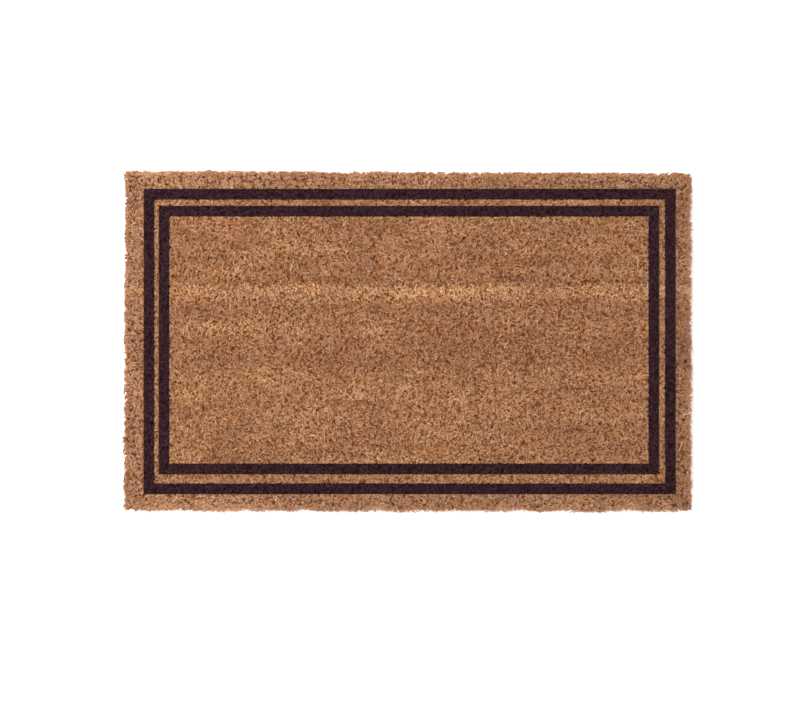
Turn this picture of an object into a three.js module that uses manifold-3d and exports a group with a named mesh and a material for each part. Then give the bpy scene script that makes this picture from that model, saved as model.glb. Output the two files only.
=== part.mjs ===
// A thick hand-woven coir door mat: cut pile with a dyed double border, standing on a plain weave of
// coir yarn whose four edges are closed by a whipped cord.
// Millimetres. X runs along the mat, Y across it from front to back, Z up.
// The origin is at the centre of the underside.

import * as THREE from 'three';
import { mergeVertices } from 'three/addons/utils/BufferGeometryUtils.js';
import Module from 'manifold-3d';

const MAT_LENGTH = 762;
const MAT_WIDTH = 457;
const MAT_THICKNESS = 38;
const CLEARANCE = 0.3;

// The weave: warps along X, one continuous weft that goes back and forth along Y.
const WARP_COUNT = 21;
const WARP_PITCH = 20.4;
const WARP_RADIUS = 1.75;
const WARP_SIDES = 5;
const WARP_FLOAT = 4;
const WEFT_PASSES = 37;
const WEFT_PITCH = 20.2;
const WEFT_RADIUS = 1.7;
const WEFT_SIDES = 6;
const WEFT_TURN_STEPS = 6;
const WEFT_TURN_DEPTH = 8;
const CREST_RISE = 4.2;

// The cord along each edge and the twine whipped round it.
const EDGE_CORD_RADIUS = 2.8;
const EDGE_CORD_SIDES = 8;
const TWINE_RADIUS = 0.85;
const TWINE_SIDES = 4;
const TWINE_STEPS_PER_TURN = 5;
const TWINE_PITCH = 19;
const EDGE_INSET = 0.8;

// The pile: a slab with softly rounded edges, divided into the zones of the border.
const PILE_EDGE_ROUND = 5;
const PILE_CORNER_RADIUS = 7;
const PILE_EDGE_STEPS = 3;
const BAND_WIDTH = 13.8;
// Distance of each border line's outer edge from the edge of the mat.
const OUTER_BAND = { left: 26.6, right: 22.2, front: 24.3, back: 23.5 };
const INNER_BAND = { left: 46.8, right: 44.3, front: 51, back: 46.3 };

// ---- materials ------------------------------------------------------------------------------

const naturalPile = new THREE.MeshStandardMaterial({ color: 0x9e6f4e, roughness: 0.95, metalness: 0 });
const dyedPile = new THREE.MeshStandardMaterial({ color: 0x372326, roughness: 0.95, metalness: 0 });
const coirYarn = new THREE.MeshStandardMaterial({ color: 0x8f6a45, roughness: 0.9, metalness: 0 });
const lashingTwine = new THREE.MeshStandardMaterial({ color: 0xa98257, roughness: 0.9, metalness: 0 });

// ---- helpers --------------------------------------------------------------------------------

// A path through given stations, one extrusion step to each stretch. The tangent at a station
// halves the bend there.
class StationPath extends THREE.Curve {
  constructor(stations) {
    super();
    this.stations = stations;
  }

  getPoint(t) {
    const place = t * (this.stations.length - 1);
    const from = Math.min(Math.floor(place), this.stations.length - 2);
    return this.stations[from].clone().lerp(this.stations[from + 1], place - from);
  }

  getPointAt(u) {
    return this.getPoint(u);
  }

  getTangentAt(u) {
    const last = this.stations.length - 1;
    const here = Math.round(u * last);
    const tangent = new THREE.Vector3();
    if (here > 0) {
      tangent.add(this.stations[here].clone().sub(this.stations[here - 1]).normalize());
    }
    if (here < last) {
      tangent.add(this.stations[here + 1].clone().sub(this.stations[here]).normalize());
    }
    return tangent.normalize();
  }

  getSpacedPoints() {
    return this.stations.map((station) => station.clone());
  }
}

// A regular section with a flat side, not a corner, on its +x side. The section's +x side faces
// down on every level path.
function yarnSection(radius, sides) {
  const corners = [];
  for (let i = 0; i < sides; i += 1) {
    const angle = ((i + 0.5) / sides) * 2 * Math.PI;
    corners.push(new THREE.Vector2(radius * Math.cos(angle), radius * Math.sin(angle)));
  }
  return new THREE.Shape(corners);
}

function yarn(stations, radius, sides) {
  return new THREE.ExtrudeGeometry(yarnSection(radius, sides), {
    steps: stations.length - 1,
    extrudePath: new StationPath(stations),
    bevelEnabled: false,
  });
}

const mat = new THREE.Group();

function addPiece(name, geometry, material) {
  const piece = new THREE.Mesh(geometry, material);
  piece.name = name;
  mat.add(piece);
}

// ---- the weave ------------------------------------------------------------------------------

const WARP_APOTHEM = WARP_RADIUS * Math.cos(Math.PI / WARP_SIDES);
const WEAVE_MIDDLE = CREST_RISE + WARP_APOTHEM;
const WEAVE_TOP = WEAVE_MIDDLE + CREST_RISE + WARP_RADIUS;
const FIRST_WARP = (-(WARP_COUNT - 1) / 2) * WARP_PITCH;
const FIRST_WEFT = (-(WEFT_PASSES - 1) / 2) * WEFT_PITCH;
const WARP_TAIL = 4;

// A warp crosses over one weft pass and under the next. Under a pass it lies flat for a short
// stretch, and that flat is what the mat stands on.
function warpStations(index) {
  const y = FIRST_WARP + index * WARP_PITCH;
  const stations = [];
  for (let pass = 0; pass < WEFT_PASSES; pass += 1) {
    const x = FIRST_WEFT + pass * WEFT_PITCH;
    const over = (pass + index) % 2 === 0;
    const z = over ? WEAVE_MIDDLE + CREST_RISE : WEAVE_MIDDLE - CREST_RISE;
    if (pass === 0) {
      stations.push(new THREE.Vector3(x - WARP_TAIL, y, z));
    }
    if (over) {
      stations.push(new THREE.Vector3(x, y, z));
    } else {
      stations.push(new THREE.Vector3(x - WARP_FLOAT / 2, y, z));
      stations.push(new THREE.Vector3(x + WARP_FLOAT / 2, y, z));
    }
    if (pass === WEFT_PASSES - 1) {
      stations.push(new THREE.Vector3(x + WARP_TAIL, y, z));
    }
  }
  return stations;
}

for (let index = 0; index < WARP_COUNT; index += 1) {
  const name = `chain_warp_${String(index + 1).padStart(2, '0')}`;
  addPiece(name, yarn(warpStations(index), WARP_RADIUS, WARP_SIDES), coirYarn);
}

// The weft runs straight across the warps and turns back just outside the last one.
function weftStations() {
  const turnStart = -FIRST_WARP + WARP_RADIUS + CLEARANCE;
  const stations = [];
  for (let pass = 0; pass < WEFT_PASSES; pass += 1) {
    const x = FIRST_WEFT + pass * WEFT_PITCH;
    const heading = pass % 2 === 0 ? 1 : -1;
    if (pass === 0) {
      stations.push(new THREE.Vector3(x, -heading * turnStart, WEAVE_MIDDLE));
    }
    stations.push(new THREE.Vector3(x, heading * turnStart, WEAVE_MIDDLE));
    if (pass === WEFT_PASSES - 1) {
      break;
    }
    for (let step = 1; step <= WEFT_TURN_STEPS; step += 1) {
      const angle = (step / WEFT_TURN_STEPS) * Math.PI;
      const across = (WEFT_PITCH / 2) * (1 - Math.cos(angle));
      const out = turnStart + WEFT_TURN_DEPTH * Math.sin(angle);
      stations.push(new THREE.Vector3(x + across, heading * out, WEAVE_MIDDLE));
    }
  }
  return stations;
}

addPiece('weft_yarn', yarn(weftStations(), WEFT_RADIUS, WEFT_SIDES), coirYarn);

// ---- the edges ------------------------------------------------------------------------------

// Straight stretches of twine between the steps of a turn just clear the cord's corners.
const TWINE_COIL_RADIUS =
  (EDGE_CORD_RADIUS + TWINE_RADIUS + CLEARANCE / 2) / Math.cos(Math.PI / TWINE_STEPS_PER_TURN);
const EDGE_REACH = TWINE_COIL_RADIUS + TWINE_RADIUS;
const EDGE_X = MAT_LENGTH / 2 - EDGE_INSET - EDGE_REACH;
const EDGE_Y = MAT_WIDTH / 2 - EDGE_INSET - EDGE_REACH;
const END_CORD_HALF = MAT_WIDTH / 2 - EDGE_INSET;
const SIDE_CORD_HALF = EDGE_X - EDGE_REACH - CLEARANCE;

// The twine's turns round a straight cord. along and aside are unit vectors of the cord's line and
// of the level direction at right angles to it.
function twineStations(centre, along, aside, halfLength) {
  const up = new THREE.Vector3(0, 0, 1);
  const turns = Math.round((2 * halfLength) / TWINE_PITCH);
  const steps = turns * TWINE_STEPS_PER_TURN;
  const stations = [];
  for (let step = 0; step <= steps; step += 1) {
    const angle = (step / TWINE_STEPS_PER_TURN) * 2 * Math.PI;
    const place = (step / steps - 0.5) * 2 * (halfLength - TWINE_RADIUS);
    const station = centre.clone();
    station.addScaledVector(along, place);
    station.addScaledVector(aside, TWINE_COIL_RADIUS * Math.cos(angle));
    station.addScaledVector(up, TWINE_COIL_RADIUS * Math.sin(angle));
    stations.push(station);
  }
  return stations;
}

function addEdge(side, centre, along, aside, halfLength) {
  const ends = [
    centre.clone().addScaledVector(along, -halfLength),
    centre.clone().addScaledVector(along, halfLength),
  ];
  addPiece(`edge_cord_${side}`, yarn(ends, EDGE_CORD_RADIUS, EDGE_CORD_SIDES), coirYarn);
  const turns = twineStations(centre, along, aside, halfLength);
  addPiece(`lashing_twine_${side}`, yarn(turns, TWINE_RADIUS, TWINE_SIDES), lashingTwine);
}

const ALONG_X = new THREE.Vector3(1, 0, 0);
const ALONG_Y = new THREE.Vector3(0, 1, 0);

addEdge('front', new THREE.Vector3(0, -EDGE_Y, WEAVE_MIDDLE), ALONG_X, ALONG_Y, SIDE_CORD_HALF);
addEdge('back', new THREE.Vector3(0, EDGE_Y, WEAVE_MIDDLE), ALONG_X, ALONG_Y, SIDE_CORD_HALF);
addEdge('left', new THREE.Vector3(-EDGE_X, 0, WEAVE_MIDDLE), ALONG_Y, ALONG_X, END_CORD_HALF);
addEdge('right', new THREE.Vector3(EDGE_X, 0, WEAVE_MIDDLE), ALONG_Y, ALONG_X, END_CORD_HALF);

// ---- the pile -------------------------------------------------------------------------------

const wasm = await Module();
wasm.setup();

function toSolid(geometry) {
  const bare = geometry.clone();
  bare.deleteAttribute('normal');
  bare.deleteAttribute('uv');
  const merged = mergeVertices(bare, 1e-4);
  return new wasm.Manifold(
    new wasm.Mesh({
      numProp: 3,
      vertProperties: merged.getAttribute('position').array,
      triVerts: new Uint32Array(merged.getIndex().array),
    }),
  );
}

function toGeometry(solid) {
  const { vertProperties, triVerts } = solid.getMesh();
  const geometry = new THREE.BufferGeometry();
  geometry.setAttribute('position', new THREE.Float32BufferAttribute(vertProperties, 3));
  geometry.setIndex(new THREE.Uint32BufferAttribute(triVerts, 1));
  geometry.computeVertexNormals();
  return geometry;
}

function roundedRectangle(length, width, radius) {
  const x = length / 2;
  const y = width / 2;
  const outline = new THREE.Shape();
  outline.moveTo(-x + radius, -y);
  outline.lineTo(x - radius, -y);
  outline.absarc(x - radius, -y + radius, radius, -Math.PI / 2, 0);
  outline.lineTo(x, y - radius);
  outline.absarc(x - radius, y - radius, radius, 0, Math.PI / 2);
  outline.lineTo(-x + radius, y);
  outline.absarc(-x + radius, y - radius, radius, Math.PI / 2, Math.PI);
  outline.lineTo(-x, -y + radius);
  outline.absarc(-x + radius, -y + radius, radius, Math.PI, 1.5 * Math.PI);
  return outline;
}

const PILE_BOTTOM = WEAVE_TOP + CLEARANCE;

function pileEnvelope() {
  const inset = 2 * PILE_EDGE_ROUND;
  const outline = roundedRectangle(MAT_LENGTH - inset, MAT_WIDTH - inset, PILE_CORNER_RADIUS);
  const height = MAT_THICKNESS - PILE_BOTTOM;
  const geometry = new THREE.ExtrudeGeometry(outline, {
    depth: height - inset,
    bevelThickness: PILE_EDGE_ROUND,
    bevelSize: PILE_EDGE_ROUND,
    bevelSegments: PILE_EDGE_STEPS,
    curveSegments: PILE_EDGE_STEPS,
  });
  geometry.translate(0, 0, PILE_BOTTOM + PILE_EDGE_ROUND);
  return toSolid(geometry);
}

// A rectangle given by how far each of its sides is from the edge of the mat.
function insetRectangle(inset) {
  return {
    left: -MAT_LENGTH / 2 + inset.left,
    right: MAT_LENGTH / 2 - inset.right,
    front: -MAT_WIDTH / 2 + inset.front,
    back: MAT_WIDTH / 2 - inset.back,
  };
}

function grown(inset, by) {
  return {
    left: inset.left + by,
    right: inset.right + by,
    front: inset.front + by,
    back: inset.back + by,
  };
}

const envelope = pileEnvelope();

// The part of the pile over one rectangle, half a clearance inside it on every side.
function addPileBlock(name, rectangle, material) {
  const length = rectangle.right - rectangle.left - CLEARANCE;
  const width = rectangle.back - rectangle.front - CLEARANCE;
  const prism = new THREE.BoxGeometry(length, width, 2 * MAT_THICKNESS);
  prism.translate((rectangle.left + rectangle.right) / 2, (rectangle.front + rectangle.back) / 2, 0);
  addPiece(name, toGeometry(envelope.intersect(toSolid(prism))), material);
}

// A frame of pile between an outer and an inner rectangle, in four straight blocks.
function addPileFrame(zone, outer, inner, material) {
  const front = { ...outer, back: inner.front };
  const back = { ...outer, front: inner.back };
  const left = { ...inner, left: outer.left, right: inner.left };
  const right = { ...inner, left: inner.right, right: outer.right };
  addPileBlock(`pile_${zone}_front`, front, material);
  addPileBlock(`pile_${zone}_back`, back, material);
  addPileBlock(`pile_${zone}_left`, left, material);
  addPileBlock(`pile_${zone}_right`, right, material);
}

const matEdge = insetRectangle({ left: -1, right: -1, front: -1, back: -1 });
const outerBandOutside = insetRectangle(OUTER_BAND);
const outerBandInside = insetRectangle(grown(OUTER_BAND, BAND_WIDTH));
const innerBandOutside = insetRectangle(INNER_BAND);
const innerBandInside = insetRectangle(grown(INNER_BAND, BAND_WIDTH));

addPileFrame('margin', matEdge, outerBandOutside, naturalPile);
addPileFrame('outer_border', outerBandOutside, outerBandInside, dyedPile);
addPileFrame('gap', outerBandInside, innerBandOutside, naturalPile);
addPileFrame('inner_border', innerBandOutside, innerBandInside, dyedPile);
addPileBlock('pile_field', innerBandInside, naturalPile);

export default mat;
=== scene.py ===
"""A thick hand-woven coir door mat with a dyed double border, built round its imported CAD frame.

Lengths in this file are millimetres until a mesh is made; MM turns them into metres.
The pile is made of tufts in columns and rows. Each tuft opens into locks, small bundles of cut
fibres that lean the same way, and a packed bed closes the pile below them. The dye, as on the
real mat, is only in the upper part of the pile.
"""

import math

import bpy
import numpy as np
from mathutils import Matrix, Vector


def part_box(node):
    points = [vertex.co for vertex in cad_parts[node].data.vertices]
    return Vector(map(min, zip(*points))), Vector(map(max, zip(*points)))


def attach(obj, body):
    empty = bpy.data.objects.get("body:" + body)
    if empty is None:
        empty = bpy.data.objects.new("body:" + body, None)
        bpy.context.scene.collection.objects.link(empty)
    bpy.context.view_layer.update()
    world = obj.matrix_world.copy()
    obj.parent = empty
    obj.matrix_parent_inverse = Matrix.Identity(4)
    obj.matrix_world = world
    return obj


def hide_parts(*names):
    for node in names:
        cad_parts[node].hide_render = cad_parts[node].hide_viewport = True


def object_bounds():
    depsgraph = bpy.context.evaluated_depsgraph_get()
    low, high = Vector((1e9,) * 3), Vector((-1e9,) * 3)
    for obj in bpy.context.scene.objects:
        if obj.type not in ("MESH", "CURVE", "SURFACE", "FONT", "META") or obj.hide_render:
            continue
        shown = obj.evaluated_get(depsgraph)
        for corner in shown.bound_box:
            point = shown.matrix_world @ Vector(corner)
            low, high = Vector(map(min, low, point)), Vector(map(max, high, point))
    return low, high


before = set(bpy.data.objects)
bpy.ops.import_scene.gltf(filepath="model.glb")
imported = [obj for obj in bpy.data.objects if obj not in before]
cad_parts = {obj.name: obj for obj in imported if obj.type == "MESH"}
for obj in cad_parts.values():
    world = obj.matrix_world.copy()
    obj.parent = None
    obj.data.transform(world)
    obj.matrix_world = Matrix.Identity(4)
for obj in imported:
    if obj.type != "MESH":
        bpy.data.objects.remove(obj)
cad_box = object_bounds()

MM = 0.001
SEED = 20

# ---- sizes from the frame ----


def box_mm(node):
    """A CAD node's lowest and highest corner, in millimetres."""
    low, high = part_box(node)
    return np.array(low) / MM, np.array(high) / MM


CAD_LOW = np.array(cad_box[0]) / MM
CAD_HIGH = np.array(cad_box[1]) / MM
HALF_LENGTH = (CAD_HIGH[0] - CAD_LOW[0]) / 2
HALF_WIDTH = (CAD_HIGH[1] - CAD_LOW[1]) / 2
PILE_TOP = CAD_HIGH[2]
PILE_BOTTOM = box_mm("pile_field")[0][2]
SIDES = ("front", "back", "left", "right")


def zone_rectangle(zone):
    """The outside of a frame of pile: low x, low y, high x, high y."""
    low, high = box_mm(f"pile_{zone}_front"), box_mm(f"pile_{zone}_back")
    return np.array([low[0][0], low[0][1], high[1][0], high[1][1]])


FIELD_LOW, FIELD_HIGH = box_mm("pile_field")
RECTANGLES = {
    "outer_border": zone_rectangle("outer_border"),
    "gap": zone_rectangle("gap"),
    "inner_border": zone_rectangle("inner_border"),
    "field": np.array([*FIELD_LOW[:2], *FIELD_HIGH[:2]]),
}

# ---- numbers and meshes ----

NOISE_CELLS = 256  # smooth noise repeats after this many cells
NOISE_START = 100.5  # where on its grid the mat's middle is
NOISE_GAIN = 1.5  # blending lowers the spread, and this brings it back to about one


def smooth_noise(x, y, cell, seed):
    """Noise of unit spread that changes smoothly over about cell millimetres."""
    rng = np.random.default_rng(seed)
    size = NOISE_CELLS
    values = rng.normal(size=(size, size))
    u, v = np.asarray(x) / cell + NOISE_START, np.asarray(y) / cell + NOISE_START
    i, j = np.floor(u).astype(int), np.floor(v).astype(int)
    a, b = u - i, v - j
    a, b = a * a * (3 - 2 * a), b * b * (3 - 2 * b)
    i, j, k, m = i % size, j % size, (i + 1) % size, (j + 1) % size
    low = values[i, j] * (1 - a) + values[k, j] * a
    high = values[i, m] * (1 - a) + values[k, m] * a
    return (low * (1 - b) + high * b) * NOISE_GAIN


def line_noise(along, cell, seed):
    """Smooth noise along a line."""
    return smooth_noise(along, 0 * along, cell, seed)


def new_object(name, data):
    """An object in the scene."""
    made = bpy.data.objects.new(name, data)
    bpy.context.scene.collection.objects.link(made)
    return made


def new_mesh(name, points, polygons, layout, attributes):
    """A mesh object from points in millimetres and lists of equal-sided polygon arrays.
    layout is the place of every polygon corner on the bake map, in the same order."""
    mesh = bpy.data.meshes.new(name)
    mesh.vertices.add(len(points))
    mesh.vertices.foreach_set("co", (np.asarray(points) * MM).astype(np.float32).ravel())
    corners = np.concatenate([p.ravel() for p in polygons])
    totals = np.concatenate([np.full(len(p), p.shape[1]) for p in polygons])
    mesh.loops.add(len(corners))
    mesh.loops.foreach_set("vertex_index", corners.astype(np.int32))
    mesh.polygons.add(len(totals))
    starts = np.concatenate([[0], np.cumsum(totals)[:-1]])
    mesh.polygons.foreach_set("loop_start", starts.astype(np.int32))
    mesh.polygons.foreach_set("use_smooth", np.full(len(totals), True))
    mesh.update(calc_edges=True)
    if layout is not None:
        uv = mesh.uv_layers.new(name="OFBake")
        uv.data.foreach_set("uv", np.asarray(layout, np.float32).ravel())
    for key, values in attributes.items():
        layer = mesh.attributes.new(key, "FLOAT", "POINT")
        layer.data.foreach_set("value", np.asarray(values, np.float32))
    mesh.validate()
    return new_object(name, mesh)


def cells(count, low, high, tall):
    """Bake-map cells for count small things between two heights of the map. tall is the cell's
    height over its width. Returns each cell's corner and the cell size."""
    columns = max(1, math.ceil(math.sqrt(count * tall / (high - low))))
    rows = max(1, math.ceil(count / columns))
    index = np.arange(count)
    size = np.array([1 / columns, (high - low) / rows])
    corner = np.stack([index % columns, index // columns], axis=1) * size
    corner[:, 1] += low
    return corner, size


# ---- the tufts ----

COLUMN_PITCH = 6.0  # between the rows that the weft locks, along the mat
YARN_PITCH = 6.35  # between neighbouring pile yarns, across the mat
CORNER_RADIUS = 7.5
TINY = 1e-6
EDGE_LEAN, EDGE_LEAN_REACH = 5.5, 9.0  # how far the rim's tufts splay, and how far in they do
EDGE_WAVE_REACH = 11.0  # how far in from an edge its waves are felt
EDGE_SEED = 40
# How far each edge stands out past the nominal outline at its two ends (left or front first), the
# size of its waves and of its single tufts' scatter, and the length of a wave.
EDGES = {
    "front": {"ends": (-0.7, 1.0), "wave": 1.0, "scatter": 0.3, "length": 15},
    "back": {"ends": (4.0, 0.5), "wave": 0.4, "scatter": 0.35, "length": 26},
    "left": {"ends": (3.7, 1.0), "wave": 0.8, "scatter": 0.5, "length": 7},
    "right": {"ends": (1.3, 1.3), "wave": 0.3, "scatter": 0.3, "length": 14},
}
OUTWARD = {"front": (0, -1), "back": (0, 1), "left": (-1, 0), "right": (1, 0)}


def edge_offset(side, along, half, seed):
    """How far an edge stands out at a place along it."""
    facts = EDGES[side]
    share = (along / half + 1) / 2
    straight = facts["ends"][0] * (1 - share) + facts["ends"][1] * share
    return straight + facts["wave"] * line_noise(along, facts["length"], seed)


def distances(x, y):
    """How far a place is inside each side of the nominal outline."""
    return {
        "front": HALF_WIDTH + y,
        "back": HALF_WIDTH - y,
        "left": HALF_LENGTH + x,
        "right": HALF_LENGTH - x,
    }


def depth_inside(x, y):
    """How far a place is inside the nearest side."""
    return np.minimum.reduce(list(distances(x, y).values()))


def rounded(places, inset):
    """Places drawn in so that the mat's corners are round. inset is how far the outermost ones
    are from the outline."""
    centre = np.array([HALF_LENGTH, HALF_WIDTH]) - CORNER_RADIUS
    past = np.maximum(np.abs(places) - centre, 0)
    reach = np.linalg.norm(past, axis=-1, keepdims=True)
    scale = np.minimum(1, (CORNER_RADIUS - inset) / np.maximum(reach, TINY))
    return np.sign(places) * (np.minimum(np.abs(places), centre) + past * scale)


def edge_shift(x, y, scatter=None):
    """How far the uneven edges move a place outward."""
    shift = np.zeros((*np.shape(x), 2))
    ahead = distances(x, y)
    for number, side in enumerate(SIDES):
        across_x = side in ("front", "back")
        along, half = (x, HALF_LENGTH) if across_x else (y, HALF_WIDTH)
        stand = edge_offset(side, along, half, EDGE_SEED + number)
        if scatter is not None:
            stand = stand + EDGES[side]["scatter"] * scatter[number]
        fade = np.exp(-ahead[side] / EDGE_WAVE_REACH)
        shift += (fade * stand)[..., None] * OUTWARD[side]
    return shift


# The streaks along the mat: where, how wide, how much lighter. The dark and light pair at 80 and 71
# is painted shade and painted light, the two sides of a fold lit from one side; the others are
# streaks that single batches of yarn leave.
STREAKS = (
    (121, 6, 0.05),
    (104, 5, -0.13),
    (80, 4, -0.42),
    (71, 4, 0.53),
    (62, 8, 0.24),
    (47, 5, -0.08),
    (17, 6, 0.12),
    (-1, 5, -0.09),
    (-8, 18, -0.08),
    (-25, 5, -0.16),
    (-52, 17, 0.08),
    (-73, 5, 0.05),
    (-126, 5, 0.07),
    (-138, 5, -0.09),
)
STREAK_WANDER, WANDER_CELL = 1.7, 95  # how far streaks wander across the mat, over what length
STREAK_FADING, FADING_CELL = 0.13, 110
STREAKS_APART = 50  # each streak takes its fading from its own place in the noise
YARN_TONES = ((0.065, 90, 36), (0.05, 20, 37))  # along single yarns: strength, length, seed
YARNS_APART = 200.0  # and the yarns take these from places this far apart
PATCH_TONE, PATCH_CELL = 0.045, 28  # patches that cross the yarns
RIM_PAINTED_SHADE, LEFT_RIM_PAINTED_SHADE, RIM_PAINTED_SHADE_REACH = 0.11, 0.14, 5  # painted shade: the rim is darker, the left most, against the light on the outermost fibres
LENGTH_TONE = 0.018  # painted shade: how much the tone falls from the middle to the right end, as the light falls off away from the lamp
SHADED_RIGHT_END = (335, 15, 0.10)  # painted shade near the right end: from where, how soon, how much
TUFT_TONE = 0.05  # how much single tufts differ


def tuft_tone(x, y, yarn, ahead, inner, rng):
    """Every tuft's colour tone, with painted light and shade in it: the lit and shaded sides of a
    fold, a darker rim and a darker right end.
    """
    tone = np.ones(len(x))
    drift = y + STREAK_WANDER * line_noise(x, WANDER_CELL, seed=34)
    # the streaks, among them the fold's painted shade and painted light
    for number, (place, width, strength) in enumerate(STREAKS):
        fading = smooth_noise(x, 0 * x + STREAKS_APART * number, FADING_CELL, seed=35)
        strength = strength * (1 + STREAK_FADING * fading)
        tone += strength * np.exp(-(((drift - place) / width) ** 2))
    for strength, length, seed in YARN_TONES:
        tone *= 1 + strength * smooth_noise(x, yarn * YARNS_APART, length, seed)
    tone *= 1 + PATCH_TONE * smooth_noise(x, y, PATCH_CELL, seed=38)
    # painted shade along the rim, most on the left
    rim = RIM_PAINTED_SHADE * np.exp(-((inner / RIM_PAINTED_SHADE_REACH) ** 2))
    left_rim = LEFT_RIM_PAINTED_SHADE * np.exp(-((ahead["left"] / RIM_PAINTED_SHADE_REACH) ** 2))
    tone *= 1 - rim - left_rim
    # painted shade: the tone falls toward the right end
    tone *= 1 - LENGTH_TONE * x / HALF_LENGTH
    # painted shade: darker still near the right end
    start, length, strength = SHADED_RIGHT_END
    tone *= 1 - strength * np.clip((x - start) / length, 0, 1)
    return tone * (1 + rng.normal(0, TUFT_TONE, len(x)))


FREE_WIDTH, LEAST_FREE = 13, 0.22  # nearer the rim than this, tufts are less free to stray
# How tufts stray: the size and cell of a smooth drift, and the size of each one's own scatter.
COLUMN_STRAY, YARN_STRAY, HEIGHT_STRAY = (0.35, 45, 0.35), (0.9, 70, 0.6), (0.35, 60, 0.35)
TUFT_SCATTER = 0.7  # how far tips stray from over their roots


def strayed(x, y, stray, rng, seed):
    """How far every tuft is from its regular place or height."""
    drift, cell, scatter = stray
    return drift * smooth_noise(x, y, cell, seed) + rng.normal(0, scatter, len(x))


def tuft_lattice():
    """Every tuft's root and tip place, height, freedom to lean and colour tone."""
    rng = np.random.default_rng(SEED)
    columns = round(2 * HALF_LENGTH / COLUMN_PITCH)
    yarns = round(2 * HALF_WIDTH / YARN_PITCH)
    column, yarn = np.meshgrid(np.arange(columns), np.arange(yarns), indexing="ij")
    column, yarn = column.ravel(), yarn.ravel()
    x = ((column + 0.5) / columns * 2 - 1) * HALF_LENGTH
    y = ((yarn + 0.5) / yarns * 2 - 1) * HALF_WIDTH
    count = len(x)
    ahead = distances(x, y)
    to_end = np.minimum(ahead["left"], ahead["right"])
    to_side = np.minimum(ahead["front"], ahead["back"])
    inner = np.minimum(to_end, to_side)
    free = np.clip(np.stack([to_end, to_side], axis=1) / FREE_WIDTH, LEAST_FREE, 1)
    x = x + free[:, 0] * strayed(x, y, COLUMN_STRAY, rng, seed=31)
    y = y + free[:, 1] * strayed(x, y, YARN_STRAY, rng, seed=32)
    tip = rounded(np.stack([x, y], axis=1), COLUMN_PITCH / 2)
    tip = tip + edge_shift(x, y, rng.normal(size=(len(SIDES), count)))
    lean = np.zeros((count, 2))
    for side in SIDES:
        near = np.exp(-ahead[side] / EDGE_LEAN_REACH)
        lean += np.outer(EDGE_LEAN * near, OUTWARD[side])
    root = tip - lean
    tip = tip + rng.normal(0, TUFT_SCATTER, (count, 2)) * free
    height = strayed(x, y, HEIGHT_STRAY, rng, seed=33)
    tone = tuft_tone(x, y, yarn, ahead, inner, rng)
    return {"root": root, "tip": tip, "inner": inner, "free": free, "height": height, "tone": tone}


TUFTS = tuft_lattice()

# ---- the locks and fibres that the tufts open into ----

EDGE_DEPTH = 7.0  # tufts this near the edge show their whole length
LOCKS_INSIDE, LOCKS_AT_EDGE = 11, 18  # in a tuft
LOCK_SPREAD = 0.6  # how far locks are from their tuft's middle, over its pitch
ROOT_SPREAD = 0.8  # their roots' spread over their tips'
LOCK_LEAN, LOCK_HEIGHT = 3.2, 0.3  # how much single locks differ in lean and height
LOCK_SHADE = (0.5, 0.10)  # the locks' middle shade, and how much they differ
FIBRES_PER_LOCK = 3
FIBRE_VISIBLE = 12.5  # inside the mat a fibre starts this far below the top
FIBRE_SHARES = (0.0, 0.6, 1.0)  # where along a fibre its stations are
FIBRE_RADII = (0.28, 0.46)
FIBRE_ROOT, FIBRE_TIP, FIBRE_LEAN = 0.6, 0.7, 1.0  # how far fibres stray from their lock's line
LEAST_TIP_FREE = 0.6  # at the rim the tips stray less, down to this share
BEND_LENGTH = 11.0  # the top part of a fibre, which leans over
STRAY_SHARE, STRAY_LEAN, STRAY_LIGHTER = 0.06, 4.0, 0.3  # uncut fibres that go their own way
SHORTER, SHORTEST = 0.9, 2.0  # how much shorter than their tuft most fibres and a few are cut
TIP_LEVEL, TIP_LIMIT = 0.2, 0.5  # the usual and the highest tip over the nominal top
RIM_ROOT, RIM_ROOT_RANGE, RIM_ROOT_POWER = -3.2, 14.0, 2.5  # where over PILE_BOTTOM rim fibres start
FIBRE_SHADE, RIM_FIBRE_SHADE = 0.19, 0.55  # how much shades differ, and how much of it at the rim


def lock_lines():
    """Every lock's tuft, root and tip place, lean, shade and height. Near the rim locks don't
    spread or lean outward as freely as inward."""
    rng = np.random.default_rng(SEED + 1)
    at_edge = TUFTS["inner"] < EDGE_DEPTH
    numbers = np.arange(len(TUFTS["tip"]))
    tuft = np.repeat(numbers, np.where(at_edge, LOCKS_AT_EDGE, LOCKS_INSIDE))
    n = len(tuft)
    free = TUFTS["free"][tuft]
    outward = np.sign(TUFTS["tip"][tuft])
    spread = rng.uniform(-LOCK_SPREAD, LOCK_SPREAD, (n, 2)) * (COLUMN_PITCH, YARN_PITCH)
    lean = rng.normal(0, LOCK_LEAN, (n, 2))
    return {
        "tuft": tuft,
        "root": TUFTS["root"][tuft] + ROOT_SPREAD * spread,
        "tip": TUFTS["tip"][tuft] + spread * np.where(spread * outward > 0, free, 1),
        "lean": lean * np.where(lean * outward > 0, free, 1),
        "shade": rng.normal(*LOCK_SHADE, n),
        "height": TUFTS["height"][tuft] + rng.normal(0, LOCK_HEIGHT, n),
        "edge": at_edge[tuft],
    }


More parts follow.
